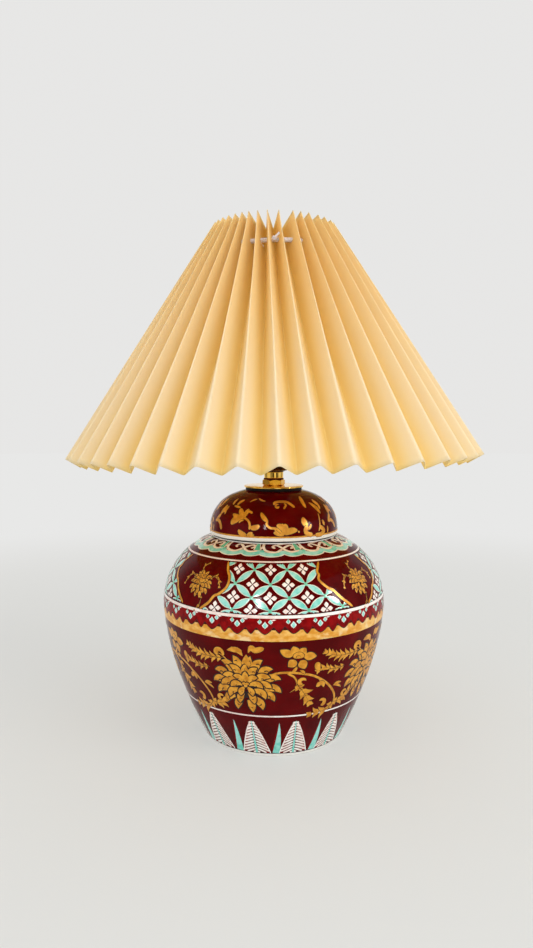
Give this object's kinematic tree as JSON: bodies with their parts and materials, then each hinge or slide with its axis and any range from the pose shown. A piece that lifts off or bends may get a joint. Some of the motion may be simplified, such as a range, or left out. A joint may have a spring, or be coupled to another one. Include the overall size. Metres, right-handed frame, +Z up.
{
  "type": "ginger jar table lamp",
  "caption": "Table lamp: a lidded ceramic jar on a threaded tube carries a screw-in bulb and a pleated, gathered conical shade.",
  "frame": {"origin": "on the table, in the middle of the foot ring", "axes": "+Z up through the threaded tube, -Y the front, +Y the back with the cord inlet"},
  "size_m": [0.35, 0.35, 0.443],
  "materials": {
    "red_glaze": "glossy oxblood glaze with overglaze ornament",
    "brass": "polished, lightly toned",
    "dark_washer": "matt black rubber",
    "fibre": "dark vulcanised fibre",
    "steel": "zinc plated",
    "bakelite": "dark brown moulded, semi-gloss",
    "porcelain": "unglazed white",
    "opal_glass": "opal white",
    "bulb_metal": "rolled thin metal",
    "black_glass": "black glass",
    "shade_paper": "cream laminated fabric, matt, slightly translucent",
    "white_cord": "white twisted cotton",
    "white_wire": "cream coated wire"
  },
  "bodies": {
    "stand": {"jar_body": "red_glaze", "lid_gasket": "dark_washer", "jar_lid": "red_glaze", "cap_washer": "dark_washer", "vase_cap": "brass", "cap_nut": "brass", "fibre_washer": "fibre", "brass_collar": "brass", "threaded_tube": "brass", "base_rubber_washer": "dark_washer", "base_steel_washer": "steel", "base_nut": "steel", "cord_grommet": "dark_washer", "holder_cap": "bakelite", "holder_shell": "bakelite", "holder_insert": "porcelain", "holder_screw_shell": "brass", "holder_centre_contact": "brass", "holder_terminals": "brass", "holder_terminal_screws": "steel"},
    "clamp_ring": {"shade_clamp_ring": "bakelite"},
    "shade": {"shade_pleats": "shade_paper", "gather_cord": "white_cord", "gather_knot": "white_cord", "carrier_ring": "white_wire", "carrier_spokes": "white_wire", "carrier_lower_wire": "white_wire", "carrier_upper_wire": "white_wire", "carrier_ribs": "white_wire"},
    "bulb_tip": {"bulb_tip_contact": "bulb_metal"},
    "bulb": {"bulb_glass": "opal_glass", "bulb_cap": "bulb_metal", "bulb_insulator": "black_glass"}
  },
  "joints": [
    {"name": "shade_turn", "type": "hinge", "parent": "stand", "child": "shade", "pos_m": [0, 0, 0.2661], "axis": [0, 0, 1], "continuous": true},
    {"name": "clamp_ring_turn", "type": "hinge", "parent": "stand", "child": "clamp_ring", "pos_m": [0, 0, 0.2707], "axis": [0, 0, 1], "range_deg": [0, 1080]},
    {"name": "bulb_lift", "type": "slide", "parent": "stand", "child": "bulb_tip", "axis": [0, 0, 1], "range_m": [0, 0.0219]},
    {"name": "bulb_turn", "type": "hinge", "parent": "bulb_tip", "child": "bulb", "pos_m": [0, 0, 0.2686], "axis": [0, 0, 1], "range_deg": [0, 2160]}
  ],
  "couplings": [
    {"joint": "bulb_lift", "follows": "bulb_turn", "m_per_rad": 0.00057757}
  ]
}
